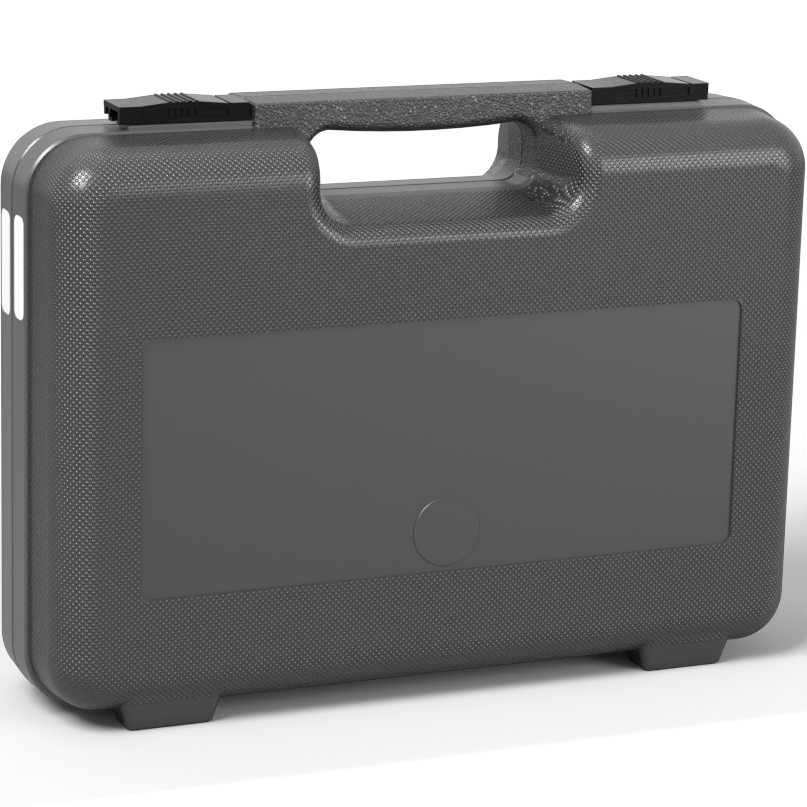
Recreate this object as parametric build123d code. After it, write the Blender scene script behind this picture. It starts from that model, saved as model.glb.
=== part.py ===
from build123d import *
import math
import os

# Hard carrying case for a studio microphone. Two moulded halves meet at Y = 0: the lid
# in front (negative Y) and the base behind. X runs across, Z up from the soles of the
# feet. Depths are counted from the parting plane outwards. All sizes in millimetres.

# ---- moulded halves ----
CASE_WIDTH = 391.0        # across the flange at the parting plane
FLANGE_FOOT = 4.5         # underside of the flange above the soles
FLANGE_TOP = 275.0        # top of the flange above the soles
LID_FLANGE = 16.5         # depth of the flange
BASE_FLANGE = 22.0
FLANGE_CORNER = 29.0
FLANGE_DRAFT = 3.0        # degrees
FLANGE_EDGE = 1.0
PARTING_EDGE = 0.4        # bevel that makes the groove where the halves meet
PARTING_GAP = 0.3         # between the closed halves
HALF_DEPTH = 54.3         # parting plane to the outer face of one half
WALL = 8.0                # double wall, outside to inside

# ---- bulge of each half, standing proud of its flange ----
LID_LEDGE = 2.0           # step from flange to bulge at the sides
BASE_LEDGE = 4.5
LID_LEDGE_TOP = 0.8       # the same step along the top
BASE_LEDGE_TOP = 2.0
LEDGE_FOOT = 1.7          # and along the bottom
BULGE_ROOT = 12.0         # depth at which the bulge starts inside the flange
BULGE_CORNER = 27.5
BULGE_DRAFT = 6.0
BULGE_EDGE = 21.0

# ---- handle and the bay round it ----
HANDLE_WIDTH = 172.4
HANDLE_RISE = 10.4        # top of the handle above the top of the flange
HANDLE_CORNER = 2.0
HOLE_WIDTH = 114.8        # hand hole at the parting plane
HOLE_DROP = 35.0          # sill below the top of the flange
HOLE_HEIGHT = 30.7
HOLE_CORNER = 10.0
HOLE_DRAFT = 3.0
GRIP_BELLY = 3.4          # sag of the grip over the middle of the hole
LID_GRIP_EDGE = 5.0
BASE_GRIP_EDGE = 5.0
LID_CROWN = 1.0           # rounding of the handle's top edge
BASE_CROWN = 7.0
LID_BAY_LEDGE = 0.6       # step from the hole to the bay at the flange's face
BASE_BAY_LEDGE = 3.3
BAY_DRAFT = 11.5          # degrees
BAY_EDGE = 10.0

# ---- panel sunk into the face of the lid, with a raised disc ----
PANEL_WIDTH = 302.8
PANEL_HEIGHT = 121.5
PANEL_MIDDLE = 125.9      # height of the panel's centre
PANEL_CORNER = 5.0
PANEL_RECESS = 1.2
PANEL_DRAFT = 10.0
DISC_RADIUS = 17.0
DISC_MIDDLE = 84.5
DISC_RISE = 0.6

# ---- feet ----
FOOT_SPACING = 266.9      # between the middles of the two feet
FOOT_WIDTH = 41.4         # across the sole
FOOT_DEPTH = 18.2
FOOT_BACK = 27.2          # depth of the foot's inner face
FOOT_DRAFT = 17.0         # degrees, the foot growing upwards
FOOT_RISE = 20.0
FOOT_EDGE = 2.5
SOLE_EDGE = 1.2

# ---- hinge ----
HINGE_SPACING = 120.0     # between the middles of the two hinges
KNUCKLE_RADIUS = 3.5
KNUCKLE_LENGTH = 10.0
KNUCKLES = 5
KNUCKLE_GAP = 0.4
HINGE_DROP = 0.5          # hinge line below the underside of the flange
PIN_RADIUS = 1.5
PIN_CLEARANCE = 0.05

# ---- slide latches ----
LATCH_LENGTH = 62.4
LATCH_FRONT = 13.5        # depth of the front skirt's face
LATCH_BACK = 8.5          # depth of the claws' back, on the base's side
LATCH_LIFT = 1.9          # lower edge of the skirts above the top of the flange
LATCH_HEIGHT = 8.1        # skirts and top plate
LATCH_PLATE = 2.4
LATCH_SKIRT = 2.1
LATCH_TRAVEL = 10.0
LATCH_CLEARANCE = 0.4
LATCH_END_GAP = 0.9       # latch at rest to the end of the handle
LATCH_EDGE = 0.5
RAMP_START = 10.0         # flat end of the top plate
RAMP_END = 52.3
RAMP_RISE = 1.3
GROOVE_WIDTH = 1.2
GROOVE_DEPTH = 0.7
RIDGE_START = 23.1
RIDGE_COUNT = 5
RIDGE_PITCH = 3.15
RIDGE_WIDTH = 1.2
RIDGE_RISE = 0.6
POCKET_DEPTH = 0.7
POCKET_FOOT = 2.4         # skirt left below the pocket
POCKET_HEAD = 0.8         # and above it
POCKET_ROUND = 1.2
LIP_HEIGHT = 1.8
LIP_OVERLAP = 2.0         # lips reaching under the rail's flanges
CLAW_LENGTH = 9.0
CLAW_RISE = 2.0           # claws end above the skirt's foot
CLAW_PITCH = 26.5
CLAWS = 3

# ---- rail on the lid and keepers on the base ----
RAIL_LENGTH = 36.0
RAIL_WEB = 5.5
RAIL_FLANGE = 2.4         # reach of the rail's flanges past its web
RAIL_FLANGE_HEIGHT = 2.0
INNER_WALL = 1.3          # latch wall between the rail and the keepers
STOP_RADIUS = 1.5
STOP_DROP = 1.2
SEAT_DEPTH = 15.0
SEAT_LENGTH = 60.0
SEAT_EDGE = 0.4

# ---- inside ----
CAVITY_MARGIN = 15.5      # flange edge to cavity at the parting plane
CAVITY_CORNER = 24.0
CAVITY_DRAFT = 3.0
CAVITY_EDGE = 10.0
BAY_WALL = 9.0            # between the hand hole and the cavity
FOAM_GAP = 0.3
TRAY_SET_BACK = 4.0       # tray face behind the parting plane
TRAY_DEPTH = 32.0
LID_PAD_DEPTH = 20.0
MIC_POCKET_LENGTH = 206.0
MIC_POCKET_WIDTH = 64.0
MIC_POCKET_MIDDLE = 185.5
POWER_POCKET_WIDTH = 146.0
POWER_POCKET_HEIGHT = 98.0
CABLE_POCKET_RADIUS = 52.0
SMALL_POCKET_WIDTH = 66.0
SMALL_POCKET_HEIGHT = 20.0
THUMB_RADIUS = 13.0
POCKET_CORNER = 8.0
POCKET_ROW_MIDDLE = 83.5

# ---- aids ----
OVERSHOOT = 1.0           # how far a cut runs past a face, or a piece into its neighbour
NEAR = 0.5                # tolerance when an edge is picked by its place

# ---- worked out from the sizes above ----
FLANGE_HEIGHT = FLANGE_TOP - FLANGE_FOOT
FLANGE_MIDDLE = (FLANGE_TOP + FLANGE_FOOT) / 2
FACE_GAP = PARTING_GAP / 2
HANDLE_TOP = FLANGE_TOP + HANDLE_RISE
HOLE_SILL = FLANGE_TOP - HOLE_DROP
HINGE_HEIGHT = FLANGE_FOOT - HINGE_DROP
CAVITY_DEPTH = HALF_DEPTH - WALL
LATCH_FOOT = FLANGE_TOP + LATCH_LIFT
LATCH_TOP = LATCH_FOOT + LATCH_HEIGHT
LATCH_MIDDLE = (HANDLE_WIDTH + LATCH_LENGTH) / 2 + LATCH_END_GAP
CHANNEL_TOP = LATCH_TOP - LATCH_PLATE                      # underside of the top plate
RAIL_TOP = CHANNEL_TOP - LATCH_CLEARANCE
RAIL_FRONT = LATCH_FRONT - LATCH_SKIRT - LATCH_CLEARANCE       # depth of the front flange's edge
WEB_FRONT = RAIL_FRONT - RAIL_FLANGE
WEB_BACK = WEB_FRONT - RAIL_WEB
KEEPER_FACE = INNER_WALL + 2 * LATCH_CLEARANCE             # depth of the keeper's inner face
KEEPER_BACK = LATCH_BACK - LATCH_SKIRT - LATCH_CLEARANCE


def lean(degrees, run):
    """Sideways growth of a drafted wall over a run."""
    return math.tan(math.radians(degrees)) * run


def drafted(sketch, start, end, degrees):
    """Extrude a sketch drawn in X and Z from one depth of the lid to another."""
    plane = Plane.XZ.offset(start)
    return extrude(plane * sketch, amount=end - start, taper=degrees)


def block(x, depth, z):
    """Box between two X values, two depths of the lid and two heights."""
    middle = ((x[0] + x[1]) / 2, -(depth[0] + depth[1]) / 2, (z[0] + z[1]) / 2)
    return Pos(*middle) * Box(abs(x[1] - x[0]), abs(depth[1] - depth[0]), abs(z[1] - z[0]))


def to_base(solid):
    """The same form on the base half."""
    return mirror(solid, about=Plane.XZ)


# ---- moulded half ----

def hole_sketch():
    """Hand hole at the parting plane, its top edge sagging with the grip."""
    half = HOLE_WIDTH / 2
    top = HOLE_SILL + HOLE_HEIGHT
    base = Polyline((-half, top), (-half, HOLE_SILL), (half, HOLE_SILL), (half, top))
    belly = ThreePointArc((half, top), (0, top - GRIP_BELLY), (-half, top))
    outline = make_face(base + belly)
    return fillet(outline.vertices(), HOLE_CORNER)


def grip(depth, crown):
    """Block that the handle is made from, its top edge rounded by the crown."""
    foot = FLANGE_TOP - FLANGE_CORNER
    drop = lean(FLANGE_DRAFT, depth)
    outline = Pos(0, (HANDLE_TOP + foot) / 2) * Rectangle(HANDLE_WIDTH, HANDLE_TOP - foot)
    outline = fillet(outline.vertices().sort_by(Axis.Y)[-2:], HANDLE_CORNER)
    side = make_face(Polyline((0, foot), (-depth, foot), (-depth, HANDLE_TOP - drop),
                              (0, HANDLE_TOP), close=True))
    side = fillet(side.vertices().sort_by(Axis.X)[:2].sort_by(Axis.Y)[-1], crown)
    side = extrude(Plane.YZ * side, amount=HANDLE_WIDTH / 2, both=True)
    return drafted(outline, FACE_GAP, depth, FLANGE_DRAFT) & side


def flange_and_handle(depth, crown, grip_edge):
    plate = Pos(0, FLANGE_MIDDLE) * RectangleRounded(CASE_WIDTH, FLANGE_HEIGHT, FLANGE_CORNER)
    body = drafted(plate, FACE_GAP, depth, FLANGE_DRAFT) + grip(depth, crown)
    rim = FLANGE_TOP - lean(FLANGE_DRAFT, depth) + NEAR
    front = body.faces().sort_by(Axis.Y)[0].outer_wire().edges()
    body = chamfer(front.filter_by(lambda e: e.center().Z < rim), FLANGE_EDGE)
    body = body - drafted(hole_sketch(), -OVERSHOOT, depth + OVERSHOOT, -HOLE_DRAFT)
    front = body.faces().sort_by(Axis.Y)[0]
    body = fillet(front.inner_wires()[0].edges(), grip_edge)
    return chamfer(body.faces().sort_by(Axis.Y)[-1].edges(), PARTING_EDGE)


def bulge(flange, ledge, ledge_top, bay_ledge):
    grow = lean(BULGE_DRAFT, flange - BULGE_ROOT)
    shrink = lean(FLANGE_DRAFT, flange)
    half = CASE_WIDTH / 2 - shrink - ledge + grow
    foot = FLANGE_FOOT + shrink + LEDGE_FOOT - grow
    top = FLANGE_TOP - shrink - ledge_top + grow
    outline = Pos(0, (foot + top) / 2) * RectangleRounded(2 * half, top - foot, BULGE_CORNER)
    body = drafted(outline, BULGE_ROOT, HALF_DEPTH, BULGE_DRAFT)
    front = body.faces().sort_by(Axis.Y)[0]
    body = fillet(front.edges(), BULGE_EDGE)
    return cut_bay(body, flange, ledge_top, bay_ledge)


def cut_bay(body, flange, ledge_top, bay_ledge):
    """Open the bulge round the hand hole and round over the bay's edge."""
    grow = lean(HOLE_DRAFT, flange) + bay_ledge - lean(BAY_DRAFT, flange - BULGE_ROOT)
    half = HOLE_WIDTH / 2 + grow
    sill = HOLE_SILL - grow
    top = HANDLE_TOP + HALF_DEPTH
    outline = Pos(0, (sill + top) / 2) * Rectangle(2 * half, top - sill)
    corners = outline.vertices().sort_by(Axis.Y)[:2]
    outline = fillet(corners, HOLE_CORNER)
    body = body - drafted(outline, BULGE_ROOT, HALF_DEPTH + OVERSHOOT, -BAY_DRAFT)
    shoulder = FLANGE_TOP - ledge_top - BULGE_EDGE - OVERSHOOT

    def on_bay(edge):
        at = edge.center()
        near = abs(at.X) < half + BULGE_EDGE / 2 and at.Z > sill - BULGE_EDGE / 2
        outer = at.Y < NEAR - HALF_DEPTH
        return near and at.Y < -BULGE_ROOT - NEAR and (outer or at.Z > shoulder)

    return fillet(body.edges().filter_by(on_bay), BAY_EDGE)


def feet():
    """Two feet, wider at the top, reaching up into the bulge's lower edge."""
    made = []
    for side in (-1, 1):
        sole = Pos(side * FOOT_SPACING / 2, -(FOOT_BACK + FOOT_DEPTH / 2))
        sole = Plane.XY * (sole * RectangleRounded(FOOT_WIDTH, FOOT_DEPTH, FOOT_EDGE))
        foot = extrude(sole, amount=FOOT_RISE, taper=-FOOT_DRAFT)
        made.append(chamfer(foot.faces().sort_by(Axis.Z)[0].edges(), SOLE_EDGE))
    return made


def cavity_outline(inset=0.0):
    """Inside of the half: the flange's outline moved in, with room left for the hand hole."""
    width = CASE_WIDTH - 2 * (CAVITY_MARGIN + inset)
    height = FLANGE_HEIGHT - 2 * (CAVITY_MARGIN + inset)
    full = Pos(0, FLANGE_MIDDLE) * RectangleRounded(width, height, CAVITY_CORNER)
    foot = HOLE_SILL - BAY_WALL - inset
    half = HOLE_WIDTH / 2 + BAY_WALL + CAVITY_DRAFT + inset
    bay = Pos(0, (foot + FLANGE_TOP) / 2) * Rectangle(2 * half, FLANGE_TOP - foot)
    left = full - bay
    inner = left.vertices().filter_by(lambda v: abs(abs(v.X) - half) < NEAR)
    return chamfer(inner, CAVITY_EDGE)


def cavity(inset=0.0):
    body = drafted(cavity_outline(inset), 0, CAVITY_DEPTH - inset, CAVITY_DRAFT)
    floor = body.faces().sort_by(Axis.Y)[0]
    return chamfer(floor.edges(), CAVITY_EDGE)


def knuckle_ends(first):
    """Ends of every second knuckle of both hinges, as X values."""
    start = -(KNUCKLES * KNUCKLE_LENGTH) / 2
    ends = []
    for side in (-1, 1):
        for count in range(first, KNUCKLES, 2):
            low = side * HINGE_SPACING / 2 + start + count * KNUCKLE_LENGTH
            ends.append((low, low + KNUCKLE_LENGTH))
    return ends


def knuckles(first):
    """Knuckles of one half, each with the web that ties it to the lid's flange."""
    made = []
    for low, high in knuckle_ends(first):
        low, high = low + KNUCKLE_GAP / 2, high - KNUCKLE_GAP / 2
        middle = Pos((low + high) / 2, 0, HINGE_HEIGHT) * Rot(0, 90, 0)
        barrel = middle * Cylinder(KNUCKLE_RADIUS, high - low)
        web = block((low, high), (FACE_GAP, KNUCKLE_RADIUS), (HINGE_HEIGHT, FLANGE_FOOT + OVERSHOOT))
        bore = middle * Cylinder(PIN_RADIUS + PIN_CLEARANCE, high - low + 2 * OVERSHOOT)
        made.append((barrel + web, bore))
    return made


def knuckle_room(first):
    """Notches in one half's flange that the other half's knuckles turn in."""
    made = []
    for low, high in knuckle_ends(1 - first):
        middle = Pos((low + high) / 2, 0, HINGE_HEIGHT) * Rot(0, 90, 0)
        made.append(middle * Cylinder(KNUCKLE_RADIUS + KNUCKLE_GAP, high - low + KNUCKLE_GAP))
    return made


def hinged(half, first):
    """One half with its knuckles, bored for the pins, and room for the other half's."""
    half = half - knuckle_room(first)
    for solid, bore in knuckles(first):
        half = half + solid - bore
    return half


def lid_panel():
    """What the sunk panel takes off the face of the lid: its recess, less the raised disc."""
    sunk = HALF_DEPTH - PANEL_RECESS
    outline = Pos(0, PANEL_MIDDLE) * RectangleRounded(PANEL_WIDTH, PANEL_HEIGHT, PANEL_CORNER)
    recess = drafted(outline, sunk, HALF_DEPTH, -PANEL_DRAFT)
    recess = recess + drafted(outline, HALF_DEPTH, HALF_DEPTH + OVERSHOOT, 0)
    disc = Pos(0, DISC_MIDDLE) * Circle(DISC_RADIUS)
    disc = drafted(disc, sunk - OVERSHOOT, sunk + DISC_RISE, 0)
    disc = chamfer(disc.faces().sort_by(Axis.Y)[0].edges(), DISC_RISE / 2)
    return recess - disc


# ---- latches, with the rail and keepers that they run on ----

def latch_places():
    """Middle of each latch at rest, and the way it slides to lock."""
    return {"left": (-LATCH_MIDDLE, -1), "right": (LATCH_MIDDLE, 1)}


def seats():
    """Raised pads on top of the lid's flange under the latches."""
    made = []
    for side in (-1, 1):
        start = side * (HANDLE_WIDTH / 2 - OVERSHOOT)
        end = start + side * SEAT_LENGTH
        foot = FLANGE_TOP - lean(FLANGE_DRAFT, SEAT_DEPTH) - OVERSHOOT
        pad = block((start, end), (FACE_GAP, SEAT_DEPTH), (foot, LATCH_FOOT - LATCH_CLEARANCE))
        front = pad.faces().sort_by(Axis.Z)[-1].edges().sort_by(Axis.Y)[0]
        made.append(chamfer(front, SEAT_EDGE))
    return made


def rails():
    """T-shaped rail of each latch, with the slot that stops its travel."""
    made = []
    for middle, way in latch_places().values():
        centre = middle + way * LATCH_TRAVEL / 2
        ends = (centre - RAIL_LENGTH / 2, centre + RAIL_LENGTH / 2)
        web = block(ends, (WEB_BACK, WEB_FRONT), (FLANGE_TOP - OVERSHOOT, RAIL_TOP))
        low = RAIL_TOP - RAIL_FLANGE_HEIGHT
        flange = block(ends, (WEB_BACK - RAIL_FLANGE, RAIL_FRONT), (low, RAIL_TOP))
        slot_length = LATCH_TRAVEL + 2 * (STOP_RADIUS + LATCH_CLEARANCE)
        slot = Plane.XY.offset(RAIL_TOP - STOP_DROP) * (
            Pos(centre, -(WEB_BACK + WEB_FRONT) / 2)
            * SlotOverall(slot_length, 2 * (STOP_RADIUS + LATCH_CLEARANCE)))
        made.append(web + flange - extrude(slot, amount=STOP_DROP + OVERSHOOT))
    return made


def keepers():
    """Posts on the base's flange that the claws of a locked latch close behind."""
    made = []
    for middle, way in latch_places().values():
        for step in range(CLAWS - 1):
            at = middle + way * (LATCH_TRAVEL - step * CLAW_PITCH)
            post = block((at - CLAW_LENGTH / 2, at + CLAW_LENGTH / 2),
                         (KEEPER_FACE, KEEPER_BACK), (FLANGE_TOP - OVERSHOOT, RAIL_TOP))
            upright = post.edges().filter_by(Axis.Z)
            made.append(to_base(fillet(upright, LATCH_EDGE)))
    return made


def latch_top():
    """Outline of the top plate from the side: flat end, ramp, groove and flat block."""
    left = -LATCH_LENGTH / 2
    ridge_end = RIDGE_START + RIDGE_COUNT * RIDGE_PITCH
    groove = LATCH_TOP - GROOVE_DEPTH
    return [
        (left, CHANNEL_TOP), (left, LATCH_TOP), (left + RAMP_START, LATCH_TOP),
        (left + RIDGE_START, LATCH_TOP + RAMP_RISE), (left + ridge_end, LATCH_TOP + RAMP_RISE),
        (left + RAMP_END, LATCH_TOP), (left + RAMP_END, groove),
        (left + RAMP_END + GROOVE_WIDTH, groove), (left + RAMP_END + GROOVE_WIDTH, LATCH_TOP),
        (-left, LATCH_TOP), (-left, CHANNEL_TOP),
    ]


def latch():
    """One slide latch, centred on X = 0: a channel gripping the rail, with three rear claws."""
    half, front = LATCH_LENGTH / 2, LATCH_FRONT
    ends = (-half, half)
    outline = make_face(Polyline(*latch_top(), close=True))
    plate = drafted(outline, -LATCH_BACK, front, 0)
    skirt = block(ends, (front - LATCH_SKIRT, front), (LATCH_FOOT, LATCH_TOP - GROOVE_DEPTH))
    lip_top = LATCH_FOOT + LIP_HEIGHT
    front_lip = block(ends, (front - LATCH_SKIRT - LIP_OVERLAP, front), (LATCH_FOOT, lip_top))
    wall_face = -LATCH_CLEARANCE
    wall = block(ends, (wall_face - INNER_WALL, wall_face), (LATCH_FOOT, CHANNEL_TOP + OVERSHOOT))
    back_lip = block(ends, (wall_face, WEB_BACK - LATCH_CLEARANCE), (LATCH_FOOT, lip_top))
    stop = Plane.XY.offset(RAIL_TOP - STOP_DROP + LATCH_CLEARANCE) * (
        Pos(0, -(WEB_BACK + WEB_FRONT) / 2) * Circle(STOP_RADIUS))
    stop = extrude(stop, amount=STOP_DROP + OVERSHOOT)
    body = plate + skirt + front_lip + wall + back_lip + stop
    for step in range(CLAWS):
        at = (step - (CLAWS - 1) / 2) * CLAW_PITCH
        claw = block((at - CLAW_LENGTH / 2, at + CLAW_LENGTH / 2),
                     (LATCH_SKIRT - LATCH_BACK, -LATCH_BACK),
                     (LATCH_FOOT + CLAW_RISE, CHANNEL_TOP + OVERSHOOT))
        body = body + claw
    return body - latch_pockets() + latch_ridges()


def latch_pockets():
    """Shallow pocket in the front skirt, under the ramps and the ridges."""
    left = -LATCH_LENGTH / 2
    foot = LATCH_FOOT + POCKET_FOOT
    head = LATCH_TOP - GROOVE_DEPTH - POCKET_HEAD
    pocket = Pos(left + (RAMP_START + RAMP_END) / 2, (foot + head) / 2) * RectangleRounded(
        RAMP_END - RAMP_START, head - foot, POCKET_ROUND)
    return drafted(pocket, LATCH_FRONT - POCKET_DEPTH, LATCH_FRONT + OVERSHOOT, 0)


def latch_ridges():
    """Thumb ridges across the ramp, carried down the front skirt as ribs."""
    left = -LATCH_LENGTH / 2
    made = []
    for count in range(RIDGE_COUNT):
        start = left + RIDGE_START + (count + 0.5) * RIDGE_PITCH - RIDGE_WIDTH / 2
        ends = (start, start + RIDGE_WIDTH)
        crest = LATCH_TOP + RAMP_RISE + RIDGE_RISE
        ridge = block(ends, (-LATCH_BACK, LATCH_FRONT), (LATCH_TOP, crest))
        ridge = chamfer(ridge.faces().sort_by(Axis.Z)[-1].edges().filter_by(Axis.Y), RIDGE_WIDTH / 3)
        rib = block(ends, (LATCH_FRONT - LATCH_SKIRT, LATCH_FRONT),
                    (LATCH_FOOT + POCKET_FOOT - OVERSHOOT, LATCH_TOP))
        made.append(ridge + rib)
    return made


# ---- hinge pins ----

def hinge_pins():
    length = KNUCKLES * KNUCKLE_LENGTH - KNUCKLE_GAP
    made = {}
    for name, side in (("left", -1), ("right", 1)):
        pin = Cylinder(PIN_RADIUS, length)
        made[name] = Pos(side * HINGE_SPACING / 2, 0, HINGE_HEIGHT) * Rot(0, 90, 0) * pin
    return made


# ---- foam ----

def pockets():
    """Die-cut pockets of the tray, as one sketch."""
    thumb = Circle(THUMB_RADIUS)
    mic = Pos(0, MIC_POCKET_MIDDLE) * SlotOverall(MIC_POCKET_LENGTH, MIC_POCKET_WIDTH)
    mic = mic + Pos(0, MIC_POCKET_MIDDLE - MIC_POCKET_WIDTH / 2) * thumb
    power_middle = -(POWER_POCKET_WIDTH + THUMB_RADIUS) / 2
    power = Pos(power_middle, POCKET_ROW_MIDDLE) * RectangleRounded(
        POWER_POCKET_WIDTH, POWER_POCKET_HEIGHT, POCKET_CORNER)
    cable = Pos(CABLE_POCKET_RADIUS + 2 * THUMB_RADIUS, POCKET_ROW_MIDDLE) * Circle(
        CABLE_POCKET_RADIUS)
    small = RectangleRounded(SMALL_POCKET_WIDTH, SMALL_POCKET_HEIGHT, POCKET_CORNER)
    lobe = (CASE_WIDTH / 2 - CAVITY_MARGIN + HOLE_WIDTH / 2 + BAY_WALL + CAVITY_DRAFT) / 2
    height = FLANGE_TOP - CAVITY_MARGIN - SMALL_POCKET_HEIGHT
    return mic + power + cable + Pos(lobe, height) * small + Pos(-lobe, height) * small


def foam_layer(start, end):
    """Slice of the cavity between two depths, a gap clear of the wall all round."""
    whole = cavity(FOAM_GAP)
    size = 2 * CASE_WIDTH
    return whole & block((-size, size), (start, end), (-size, size))


def foam_tray():
    start = TRAY_SET_BACK
    body = foam_layer(start, start + TRAY_DEPTH)
    return to_base(body - drafted(pockets(), 0, HALF_DEPTH, 0))


def foam_floor():
    return to_base(foam_layer(TRAY_SET_BACK + TRAY_DEPTH + FOAM_GAP, CAVITY_DEPTH))


def lid_pad():
    return foam_layer(CAVITY_DEPTH - LID_PAD_DEPTH, CAVITY_DEPTH)


# ---- the whole case ----

def half_shell(flange, ledge, ledge_top, bay_ledge, crown, grip_edge):
    """Flange, handle, bulge, feet and cavity of one half, drawn as the lid's."""
    body = flange_and_handle(flange, crown, grip_edge)
    return body + bulge(flange, ledge, ledge_top, bay_ledge) + feet() - cavity()


def case():
    """Every piece by name, closed, with both latches at the released end of their travel."""
    lid = half_shell(LID_FLANGE, LID_LEDGE, LID_LEDGE_TOP, LID_BAY_LEDGE, LID_CROWN, LID_GRIP_EDGE)
    base = half_shell(BASE_FLANGE, BASE_LEDGE, BASE_LEDGE_TOP, BASE_BAY_LEDGE, BASE_CROWN,
                      BASE_GRIP_EDGE)
    made = {
        "lid_shell": hinged(lid, 1) + seats() + rails() - lid_panel(),
        "base_shell": to_base(hinged(base, 0)) + keepers(),
        "foam_tray": foam_tray(),
        "foam_floor": foam_floor(),
        "lid_pad": lid_pad(),
    }
    for name, (middle, way) in latch_places().items():
        made[f"slide_latch_{name}"] = Pos(middle, 0, 0) * latch()
    for name, pin in hinge_pins().items():
        made[f"hinge_pin_{name}"] = pin
    return made


if __name__ == "__main__":
    os.makedirs("parts", exist_ok=True)
    for name, solid in case().items():
        export_step(solid, f"parts/{name}.step")
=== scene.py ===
import math

import bmesh
import bpy
from mathutils import Matrix, Vector


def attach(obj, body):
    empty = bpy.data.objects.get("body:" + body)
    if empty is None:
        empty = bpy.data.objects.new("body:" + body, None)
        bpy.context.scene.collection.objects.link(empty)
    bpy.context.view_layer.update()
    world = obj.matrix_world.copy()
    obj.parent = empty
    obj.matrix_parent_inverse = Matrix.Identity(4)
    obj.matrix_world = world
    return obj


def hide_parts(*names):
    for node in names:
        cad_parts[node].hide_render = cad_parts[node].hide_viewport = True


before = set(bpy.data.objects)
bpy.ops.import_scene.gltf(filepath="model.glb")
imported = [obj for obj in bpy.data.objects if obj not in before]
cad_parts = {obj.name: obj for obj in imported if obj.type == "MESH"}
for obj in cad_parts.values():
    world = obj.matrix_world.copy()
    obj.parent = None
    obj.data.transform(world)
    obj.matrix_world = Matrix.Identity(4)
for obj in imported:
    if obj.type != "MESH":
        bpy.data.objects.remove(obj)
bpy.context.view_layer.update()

MM = 0.001

# ---- sizes of the case, in millimetres, as the solids have them ----
CASE_HALF = 195.5
LID_FLANGE = 16.5
BASE_FLANGE = 22.0
FLANGE_DRAFT = 3.0        # degrees
BULGE_FACE = 54.3
BULGE_EDGE = 21.0
BAY_EDGE = 10.0
HANDLE_HALF = 86.2
PANEL_HALF = (151.6, 61.0)
PANEL_MIDDLE = 125.9
FOOT_MIDDLE = 133.45
CAVITY_HALF = (179.3, 119.0)
CAVITY_MIDDLE = 139.75
PAD_BACK = 46.3           # depth of the lid pad's back
PAD_DEPTH = 20.0

# ---- where the finish of the shells changes, in millimetres ----
BULGE_STEP = 0.15         # proud of the flange by this much, a shell is dotted
BAY_HALF = 76.0           # half width of the bay round the hand hole
BAY_FOOT = 220.0
GRIP_FOOT = 243.0         # leather grain from here up
PANEL_DEPTH = 50.0
FOOT_HALF = 21.2          # half width of a foot at its sole
FOOT_SPREAD = 0.30        # what it grows by on each side, going up
FOOT_HEIGHT = 14.0
FOOT_DEPTHS = (27.0, 45.9)
FOOT_SLANT = 0.32
FOOT_LOOK = -0.15         # steepest rise of a face that still belongs to a foot
CAVITY_DEPTH = 50.5
INNER_BAY_HALF = 68.5     # wall between the cavity and the hand hole
INNER_BAY_FOOT = 230.6
SEAM_SHADE = (0.25, 0.70) # depths over which the painted shade of the parting gap fades
BASE_START = 0.1          # depth past which a point is on the base
PARTING_BEVEL = 0.56      # depths between which the edge of the base is worn round
EDGE_BEVEL = 2.0
EDGE_SLOPE = 0.9

# ---- grain of the moulded plastic, in millimetres ----
DOT_PITCH = 3.03          # between dots of one row
DOT_ROW = DOT_PITCH / 2   # between rows, each set off by half a pitch
DOT_FOOT = 1.00           # radius at which a dot rises from the ground
DOT_CROWN = 0.28          # and at which it is full high
DOT_RISE = 0.34
RING_START = (0.45, 0.80) # radii over which the painted shade ring round a dot comes and goes
RING_END = (0.95, 1.15)
WALL_SHARE = 0.9          # of a wall's depth, which the dots follow
TURNING = (0.08, 0.25)    # how far a wall turns its corner
LOOSE_WAY = (8.0, 13.0)   # way over the edge at which dots become pebbles there
PEBBLE = 2.1
PEBBLE_EDGE = (0.10, 0.42)
LEATHER_CELL = 1.7
LEATHER_CREASE = (0.02, 0.34)
LEATHER_RISE = 0.34
FINE_GRAIN = 0.40
FINE_RISE = 0.014

# ---- tones of the plastic ----
PLASTIC_DARK, PLASTIC_LIGHT = 0.018, 0.022
FLANGE_TONE = 0.050
PANEL_TONE = 0.024
# painted shade: a dark ring round each dot, where its steep foot would be shaded
RING_SHADE_TONE = 0.005
# painted shade in the creases of the leather grain
CREASE_SHADE_TONE = 0.014
# painted shade: the gap along the parting line drawn dark
GAP_SHADE_TONE = 0.001

# ---- labels and foam, in millimetres ----
LABEL_CORNER = 4.0
LABEL_THICK = 0.15
LABEL_LIFT = 0.02         # off the plastic
LABEL_EDGE = 0.08
CORNER_STEPS = 6
CRATE_PITCH = 25.0
CRATE_DEPTH = 12.0

# ---- the camera, in the frame of the case ----
EYE = Vector((-0.63963, -1.46550, 0.53561))
RIGHT = Vector((0.91893, -0.39356, 0.02602))
UP = Vector((0.07288, 0.23426, 0.96944))
LENS = 153.2137

# ---- the floor, in metres ----
FLOOR_REACH = 6.0
FLOOR_FADE = (0.12, 0.16) # how far in front of the case the camera begins to see through it

# ---- light ----
SKY = 0.28                # what the world lights with; it looks white
AIM = Vector((0, 0, 0.14))
# name, way from AIM, distance and size in metres, power in watts
LAMPS = (("key", (-0.596, -0.318, 0.714), 2.0, 0.90, 50.0),
         ("side", (0.60, -0.76, 0.25), 2.2, 1.2, 27.0),
         ("top", (-0.15, 0.25, 0.95), 1.8, 1.4, 6.0))


# ---- shader arithmetic ----

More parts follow.
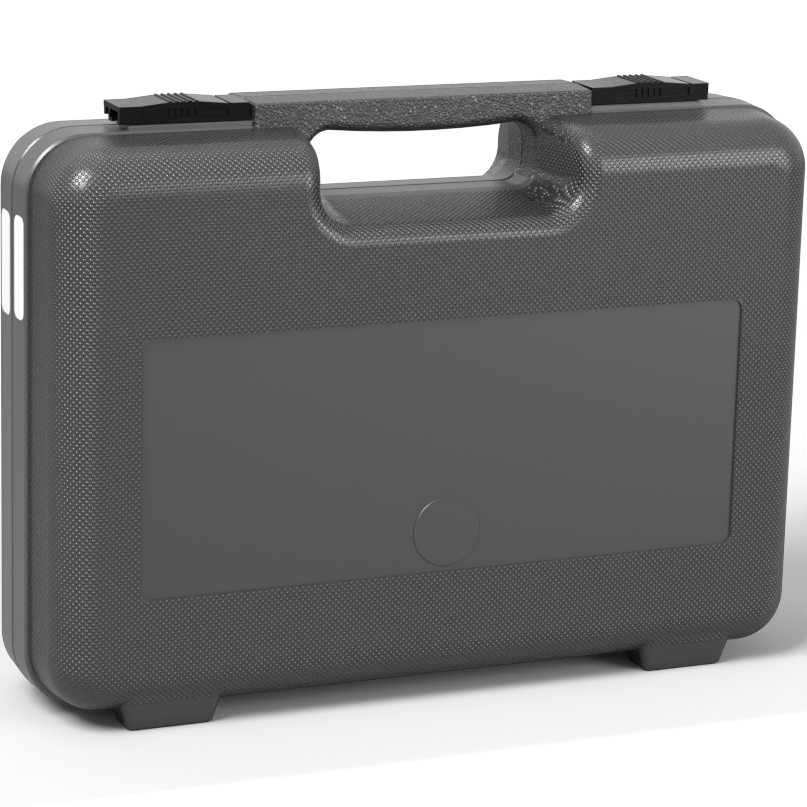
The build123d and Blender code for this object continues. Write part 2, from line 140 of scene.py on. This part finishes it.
class Reading:
    """A number that changes over a surface, open to plain arithmetic."""

    def __init__(self, wiring, socket):
        self.wiring, self.socket = wiring, socket

    def maths(self, operation, *values):
        return self.wiring.node("ShaderNodeMath", {"operation": operation}, values)

    def __add__(self, other):
        return self.maths("ADD", self, other)

    __radd__ = __add__

    def __mul__(self, other):
        return self.maths("MULTIPLY", self, other)

    __rmul__ = __mul__

    def __sub__(self, other):
        return self.maths("SUBTRACT", self, other)

    def __rsub__(self, other):
        return self.maths("SUBTRACT", other, self)

    def __truediv__(self, other):
        return self.maths("DIVIDE", self, other)

    def __neg__(self):
        return self.maths("MULTIPLY", self, -1.0)

    def __abs__(self):
        return self.maths("ABSOLUTE", self)

    def __pow__(self, other):
        return self.maths("POWER", self, other)

    def above(self, other):
        return self.maths("GREATER_THAN", self, other)

    def below(self, other):
        return self.maths("LESS_THAN", self, other)

    def least(self, other):
        return self.maths("MINIMUM", self, other)

    def most(self, other):
        return self.maths("MAXIMUM", self, other)

    def ease(self, low, high):
        """0 below low and 1 above high, with a smooth rise between."""
        return self.wiring.node("ShaderNodeMapRange", {"interpolation_type": "SMOOTHSTEP"},
                                {"Value": self, "From Min": low, "From Max": high})


class Wiring:
    """A tree of shader nodes, and the one way that its nodes are made."""

    def __init__(self, tree):
        self.tree = tree

    def make(self, kind, settings=None, values=()):
        made = self.tree.nodes.new(kind)
        for name, setting in (settings or {}).items():
            setattr(made, name, setting)
        for key, value in (values.items() if isinstance(values, dict) else enumerate(values)):
            self.fill(made.inputs[key], value)
        return made

    def node(self, kind, settings=None, values=(), output=0):
        return Reading(self, self.make(kind, settings, values).outputs[output])

    def fill(self, socket, value):
        if isinstance(value, Reading):
            self.tree.links.new(value.socket, socket)
        else:
            socket.default_value = value


class Finish(Wiring):
    """A material."""

    def __init__(self, name):
        self.material = bpy.data.materials.new(name)
        self.material.use_nodes = True
        super().__init__(self.material.node_tree)
        self.shader = self.tree.nodes["Principled BSDF"]
        place = self.make("ShaderNodeTexCoord").outputs
        self.point = Reading(self, place["Object"])
        self.normal = Reading(self, place["Normal"])

    def split(self, vector):
        """The three parts of a vector."""
        parts = self.make("ShaderNodeSeparateXYZ", None, (vector,))
        return [Reading(self, socket) for socket in parts.outputs]

    def join(self, x, y, z):
        return self.node("ShaderNodeCombineXYZ", None, (x, y, z))

    def noise(self, size, detail=2.0, roughness=0.5, vector=None):
        """Noise whose grains are about size millimetres across."""
        return self.node("ShaderNodeTexNoise", None, {
            "Vector": vector or self.point, "Scale": 1 / (size * MM), "Detail": detail,
            "Roughness": roughness})

    def cells(self, size, feature="F1"):
        return self.node("ShaderNodeTexVoronoi", {"feature": feature}, {
            "Vector": self.point, "Scale": 1 / (size * MM)})

    def blend(self, first, second, share):
        """Colour between two colours."""
        return self.node("ShaderNodeMix", {"data_type": "RGBA"},
                         {0: share, 6: first, 7: second}, output=2)

    def bump(self, height, rise):
        """Bumps whose full height is rise millimetres."""
        return self.node("ShaderNodeBump", None, {
            "Height": height, "Distance": rise * MM, "Strength": 1.0})

    def set(self, specular=None, **sockets):
        if specular is not None:
            self.shader.inputs["Specular IOR Level"].default_value = specular
        for name, value in sockets.items():
            self.fill(self.shader.inputs[name.replace("_", " ").title()], value)
        return self.material


def grey(level, warm=0.0):
    """A near neutral colour."""
    return (level * (1 + warm), level, level * (1 - warm), 1.0)


# ---- finishes ----

def way_over(depth, edge):
    """How much longer the way over a rounded edge is than its shadow on the face."""
    level = ((depth - (BULGE_FACE - edge)).most(0.0) / edge).least(1.0)
    wall = (BULGE_FACE - edge - depth).most(0.0)
    arc = level.maths("ARCCOSINE", level) * edge
    out = (1.0 - level * level).most(0.0) ** 0.5 * edge
    return arc - out + wall * WALL_SHARE


def dot_grain(f, x, y, z):
    """Height of the staggered dots, which follow the rounded edges, and the painted shade ring
    round them.

    On the walls of the bay's corners, where such rows pinch together, they are pebbles."""
    across, _, rise = f.split(f.normal)
    flat = (across * across + rise * rise) ** 0.5 + 0.0001
    in_bay = abs(x).below(BAY_HALF) * z.above(BAY_FOOT)
    over = way_over(abs(y), BAY_EDGE) * in_bay + way_over(abs(y), BULGE_EDGE) * (1.0 - in_bay)
    u = (x + over * across / flat) * (1 / DOT_PITCH)
    v = (z + over * rise / flat) * (0.5 / DOT_ROW)
    left, right = u + v, u - v
    left, right = left - left.maths("ROUND", left), right - right.maths("ROUND", right)
    away = ((left * left + right * right) * 2.0) ** 0.5 * DOT_ROW
    corner = (abs(across * rise) / (flat * flat)).ease(*TURNING) * in_bay
    loose = corner * over.ease(*LOOSE_WAY)
    dots = 1.0 - away.ease(DOT_CROWN, DOT_FOOT)
    dots = dots * (1.0 - loose) + (1.0 - f.cells(PEBBLE).ease(*PEBBLE_EDGE)) * loose
    # painted shade: a ring darker than the ground round each dot
    ring = away.ease(*RING_START) * (1.0 - away.ease(*RING_END)) * (1.0 - loose)
    return dots, ring


def shell_places(f, x, y, z):
    """The bulge, panel, feet and inside of a shell, each 1 in its place and 0 elsewhere."""
    depth, side = abs(y), abs(x)
    rise = f.split(f.normal)[2]
    flange = y.above(0.0) * (BASE_FLANGE - LID_FLANGE) + LID_FLANGE
    bulge = depth.above(flange + BULGE_STEP)
    panel = (side.below(PANEL_HALF[0]) * abs(z - PANEL_MIDDLE).below(PANEL_HALF[1])
             * y.below(-PANEL_DEPTH))
    near, far = FOOT_DEPTHS
    foot = (abs(side - FOOT_MIDDLE).below(z * FOOT_SPREAD + FOOT_HALF) * z.below(FOOT_HEIGHT)
            * depth.above(near - z * FOOT_SLANT) * depth.below(z * FOOT_SLANT + far)
            * rise.below(FOOT_LOOK))
    inner_bay = side.below(INNER_BAY_HALF) * z.above(INNER_BAY_FOOT)
    inside = (side.below(CAVITY_HALF[0]) * abs(z - CAVITY_MIDDLE).below(CAVITY_HALF[1])
              * depth.below(CAVITY_DEPTH) * (1.0 - inner_bay))
    return bulge, panel, foot, inside


def moulded_plastic():
    """Polyethylene shell: dotted bulge, leather-grained handle, fine grain elsewhere."""
    f = Finish("moulded_plastic")
    x, y, z = [part * (1 / MM) for part in f.split(f.point)]
    dots, ring = dot_grain(f, x, y, z)
    bulge, panel, foot, inside = shell_places(f, x, y, z)
    outside = 1.0 - inside
    dotted = bulge * (1.0 - panel) * (1.0 - foot) * outside
    leather = abs(x).below(HANDLE_HALF) * z.above(GRIP_FOOT) * (1.0 - bulge) * outside
    smooth = (1.0 - bulge) * (1.0 - leather) * outside

    creases = f.cells(LEATHER_CELL, "DISTANCE_TO_EDGE").ease(*LEATHER_CREASE)
    hide = creases * 0.7 + f.noise(2.2, 2.0, 0.6) * 0.5
    fine = f.noise(FINE_GRAIN, 2.0, 0.6)
    relief = (dots * dotted * DOT_RISE + hide * leather * LEATHER_RISE
              + fine * (1.0 - leather) * FINE_RISE)
    on_base = y.above(BASE_START)
    bevel = (y.most(PARTING_BEVEL).least(EDGE_BEVEL) - EDGE_BEVEL) * on_base
    relief = relief + bevel * outside * (1.0 - leather) * EDGE_SLOPE

    tone = f.blend(grey(PLASTIC_DARK), grey(PLASTIC_LIGHT), f.noise(60.0, 2.0).ease(0.3, 0.7))
    for level, share in ((FLANGE_TONE, smooth), (PANEL_TONE, panel),
                         # painted shade round each dot
                         (RING_SHADE_TONE, ring * dotted * 0.9),
                         # painted shade: the leather's creases drawn darker
                         (CREASE_SHADE_TONE, (1.0 - creases) * leather * 0.7),
                         # painted shade in the gap along the parting line
                         (GAP_SHADE_TONE, (1.0 - abs(y).ease(*SEAM_SHADE)) * outside)):
        tone = f.blend(tone, grey(level), share)

    worn = on_base * y.below(EDGE_BEVEL) * outside
    rough = (0.22 + fine * 0.08 + panel * 0.12 + (1.0 - dotted) * (1.0 - panel) * 0.08
             - worn * 0.12)
    return f.set(base_color=tone, roughness=rough, normal=f.bump(relief, 1.0), specular=0.82)


def latch_plastic():
    """Glossy black plastic with faint rubbing."""
    f = Finish("latch_plastic")
    x, y, z = f.split(f.point)
    scuffs = f.noise(1.2, 4.0, 0.7, f.join(x * 0.2, y, z * 3.0)).ease(0.45, 0.75)
    specks = f.noise(0.5, 2.0).ease(0.62, 0.72)
    tone = f.blend(grey(0.003), grey(0.012), scuffs * 0.6 + specks * 0.4)
    return f.set(base_color=tone, roughness=0.16 + scuffs * 0.16,
                 normal=f.bump(f.noise(2.5, 2.0), 0.02), specular=0.12)


def pin_steel():
    """Drawn wire."""
    f = Finish("pin_steel")
    x, y, z = f.split(f.point)
    drawn = f.noise(0.5, 3.0, 0.6, f.join(x * 0.04, y, z))
    tone = f.blend(grey(0.42), grey(0.60), drawn)
    return f.set(base_color=tone, metallic=1.0, roughness=0.24 + drawn * 0.18,
                 normal=f.bump(drawn, 0.01))


def foam(name, level):
    """Open-cell foam: fine cells, each painted darker towards its middle as shade."""
    f = Finish(name)
    cell = f.cells(0.9).ease(0.05, 0.75)
    patch = f.noise(24.0, 2.0)
    # painted shade in the pores: each cell darker towards its middle
    tone = f.blend(grey(level * 0.35), grey(level), cell)
    tone = f.blend(tone, grey(level * 1.35), patch.ease(0.4, 0.8) * 0.5)
    normal = f.bump(cell + f.noise(2.2, 2.0) * 0.8, 0.35)
    return f.set(base_color=tone, roughness=0.95 - cell * 0.05, normal=normal, specular=0.15)


def label_paper():
    """Blank white label with a satin face."""
    f = Finish("label_paper")
    fibres = f.noise(0.8, 3.0)
    tone = f.blend(grey(0.76, 0.01), grey(0.83, 0.01), fibres)
    return f.set(base_color=tone, roughness=0.42 + fibres * 0.1, normal=f.bump(fibres, 0.01))


# ---- making pieces ----

def piece(name, made, body, material, replaced=()):
    """Name and dress a mesh object, and let it ride on its body."""
    made.name = name
    made.data.name = name
    made.data.materials.clear()
    made.data.materials.append(material)
    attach(made, body)
    if replaced:
        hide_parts(*replaced)
    return made


def from_bmesh(name, form):
    mesh = bpy.data.meshes.new(name)
    form.to_mesh(mesh)
    form.free()
    made = bpy.data.objects.new(name, mesh)
    bpy.context.scene.collection.objects.link(made)
    return made


# ---- stage ----

def set_camera():
    lens = bpy.data.cameras.new("camera")
    lens.lens, lens.sensor_width = LENS, 36.0
    lens.clip_start, lens.clip_end = 0.05, 60.0
    back = RIGHT.cross(UP)
    eye = bpy.data.objects.new("camera", lens)
    eye.matrix_world = Matrix([(*row, place) for row, place in
                               zip(zip(RIGHT, UP, back), EYE)] + [(0, 0, 0, 1)])
    bpy.context.scene.collection.objects.link(eye)
    bpy.context.scene.camera = eye


def set_world():
    """White to the camera and in reflections, and dimmer as a light."""
    world = bpy.data.worlds.new("studio")
    bpy.context.scene.world = world
    world.use_nodes = True
    wiring = Wiring(world.node_tree)
    sky = world.node_tree.nodes["Background"]
    wiring.fill(sky.inputs["Color"], (1, 1, 1, 1))
    path = wiring.make("ShaderNodeLightPath").outputs
    seen = Reading(wiring, path["Is Camera Ray"])
    for ray in ("Is Transmission Ray", "Is Glossy Ray"):
        seen = seen.most(Reading(wiring, path[ray]))
    wiring.fill(sky.inputs["Strength"], seen * (1.0 - SKY) + SKY)


def set_lamps():
    for name, way, far, size, power in LAMPS:
        data = bpy.data.lights.new(name, "AREA")
        data.shape, data.size, data.size_y = "RECTANGLE", size, size
        data.energy = power
        made = bpy.data.objects.new(name, data)
        made.location = AIM + Vector(way).normalized() * far
        made.rotation_euler = (AIM - made.location).to_track_quat("-Z", "Y").to_euler()
        bpy.context.scene.collection.objects.link(made)


def set_floor():
    """Pale floor that keeps the shadow. In front of the case the camera sees through it,
    because the open lid swings lower than the soles there."""
    form = bmesh.new()
    bmesh.ops.create_grid(form, x_segments=1, y_segments=1, size=FLOOR_REACH)
    floor = from_bmesh("floor", form)
    f = Finish("floor")
    grain = f.noise(400.0, 1.0)
    f.set(base_color=f.blend(grey(0.46), grey(0.50), grain), roughness=0.9)
    seen = f.node("ShaderNodeLightPath", output="Is Camera Ray")
    in_front = (-f.split(f.point)[1]).ease(*FLOOR_FADE)
    clear = f.node("ShaderNodeBsdfTransparent")
    both = f.node("ShaderNodeMixShader", None, {
        0: seen * in_front, 1: Reading(f, f.shader.outputs[0]), 2: clear})
    f.fill(f.tree.nodes["Material Output"].inputs["Surface"], both)
    floor.data.materials.append(f.material)
    floor.is_shadow_catcher = True
    floor.visible_shadow = False


set_camera()
set_world()
set_floor()
set_lamps()
bpy.context.scene.view_settings.view_transform = "Standard"

plastic = moulded_plastic()
dressing = {"lid_shell": plastic, "base_shell": plastic}
gloss = latch_plastic()
steel = pin_steel()
for side in ("left", "right"):
    dressing[f"slide_latch_{side}"] = gloss
    dressing[f"hinge_pin_{side}"] = steel


def smooth_by_angle():
    """Tree that shades a mesh smooth except over edges sharper than its angle."""
    tree = bpy.data.node_groups.new("smooth_by_angle", "GeometryNodeTree")
    tree.interface.new_socket("Geometry", in_out="INPUT", socket_type="NodeSocketGeometry")
    tree.interface.new_socket("Angle", in_out="INPUT", socket_type="NodeSocketFloat")
    tree.interface.new_socket("Geometry", in_out="OUTPUT", socket_type="NodeSocketGeometry")
    start = tree.nodes.new("NodeGroupInput")
    end = tree.nodes.new("NodeGroupOutput")
    weld = tree.nodes.new("GeometryNodeMergeByDistance")
    weld.inputs["Distance"].default_value = 2e-6
    angle = tree.nodes.new("GeometryNodeInputMeshEdgeAngle")
    sharp = tree.nodes.new("FunctionNodeCompare")
    sharp.operation = "LESS_EQUAL"
    faces = tree.nodes.new("GeometryNodeSetShadeSmooth")
    edges = tree.nodes.new("GeometryNodeSetShadeSmooth")
    edges.domain = "EDGE"
    links = tree.links
    links.new(start.outputs["Geometry"], weld.inputs["Geometry"])
    links.new(weld.outputs["Geometry"], faces.inputs["Geometry"])
    links.new(faces.outputs["Geometry"], edges.inputs["Geometry"])
    links.new(angle.outputs["Unsigned Angle"], sharp.inputs[0])
    links.new(start.outputs["Angle"], sharp.inputs[1])
    links.new(sharp.outputs[0], edges.inputs["Shade Smooth"])
    links.new(edges.outputs["Geometry"], end.inputs["Geometry"])
    return tree


smoothing = smooth_by_angle()
angle_input = next(item.identifier for item in smoothing.interface.items_tree
                   if item.name == "Angle")
for name, material in dressing.items():
    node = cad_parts[name]
    for place in range(len(node.material_slots)):
        node.material_slots[place].material = material
    smooth = node.modifiers.new("smooth", "NODES")
    smooth.node_group = smoothing
    smooth[angle_input] = 0.6
    weigh = node.modifiers.new("weigh", "WEIGHTED_NORMAL")
    weigh.keep_sharp = True
    weigh.weight = 100


# ---- foam ----

def soft_copy(node, voxel, rounds):
    """Closed skin of even squares round a foam solid, its cut edges a little rounded."""
    form = bmesh.new()
    form.from_mesh(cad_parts[node].data)
    bmesh.ops.remove_doubles(form, verts=form.verts, dist=2e-6)
    rough = from_bmesh(node + "_rough", form)
    skin = rough.modifiers.new("skin", "REMESH")
    skin.mode, skin.voxel_size = "VOXEL", voxel * MM
    ease = rough.modifiers.new("ease", "SMOOTH")
    ease.factor, ease.iterations = 0.5, rounds
    bpy.context.view_layer.update()
    ready = rough.evaluated_get(bpy.context.evaluated_depsgraph_get())
    mesh = bpy.data.meshes.new_from_object(ready)
    bpy.data.objects.remove(rough)
    made = bpy.data.objects.new(node + "_foam", mesh)
    bpy.context.scene.collection.objects.link(made)
    for face in mesh.polygons:
        face.use_smooth = True
    return made


def egg_crate(pad):
    """Sink the face of the pad into rows of rounded peaks and hollows."""
    turn = 2 * math.pi / (CRATE_PITCH * MM)
    for vertex in pad.data.vertices:
        x, y, z = vertex.co
        share = (PAD_BACK * MM + y) / (PAD_DEPTH * MM)
        hollow = 0.5 - 0.25 * (math.cos(turn * x) + math.cos(turn * (z - CAVITY_MIDDLE * MM)))
        vertex.co.y = y - max(0.0, min(1.0, share)) * hollow * CRATE_DEPTH * MM
    pad.data.update()


def foam_pieces():
    die_cut = foam("die_cut_foam", 0.040)
    crate = foam("lid_foam", 0.050)
    for node, body, slot, finish, voxel in (
            ("foam_tray", "base", "die_cut_foam", die_cut, 2.2),
            ("foam_floor", "base", "die_cut_foam", die_cut, 3.0),
            ("lid_pad", "lid", "lid_foam", crate, 2.4)):
        made = soft_copy(node, voxel, 3)
        if node == "lid_pad":
            egg_crate(made)
        piece(made.name, made, body, finish, (node,))


# ---- blank labels on the left side of the flanges ----

def label(name, body, near, far, low, high, side):
    """Thin plate with round ends, stuck to the drafted side of a flange."""
    lean = math.tan(math.radians(FLANGE_DRAFT))
    form = bmesh.new()
    rim = []
    corners = ((far, high), (near, high), (near, low), (far, low))
    for turn, (depth, height) in enumerate(corners):
        inward = (-1 if depth == far else 1, -1 if height == high else 1)
        middle = (depth + inward[0] * LABEL_CORNER, height + inward[1] * LABEL_CORNER)
        for step in range(CORNER_STEPS + 1):
            angle = math.radians(90 * (turn + step / CORNER_STEPS))
            rim.append((middle[0] + LABEL_CORNER * math.cos(angle),
                        middle[1] + LABEL_CORNER * math.sin(angle)))
    rings = []
    for inset, lift in ((0.0, LABEL_LIFT), (0.0, LABEL_THICK * 0.7), (LABEL_EDGE, LABEL_THICK)):
        ring = []
        for depth, height in rim:
            toward = (near + far) / 2 - depth, (low + high) / 2 - height
            depth = depth + math.copysign(inset, toward[0])
            height = height + math.copysign(inset, toward[1])
            out = CASE_HALF - lean * depth + lift
            ring.append(form.verts.new((-out * MM, side * depth * MM, height * MM)))
        rings.append(ring)
    form.faces.new(rings[0])
    form.faces.new(rings[-1])
    for under, upper in zip(rings, rings[1:]):
        for first in range(len(rim)):
            second = (first + 1) % len(rim)
            form.faces.new((under[first], under[second], upper[second], upper[first]))
    bmesh.ops.recalc_face_normals(form, faces=form.faces)
    piece(name, from_bmesh(name, form), body, paper)


paper = label_paper()
label("label_lid", "lid", 3.1, 14.9, 189.5, 237.0, -1)
label("label_base", "base", 4.0, 19.2, 188.0, 235.8, 1)
foam_pieces()
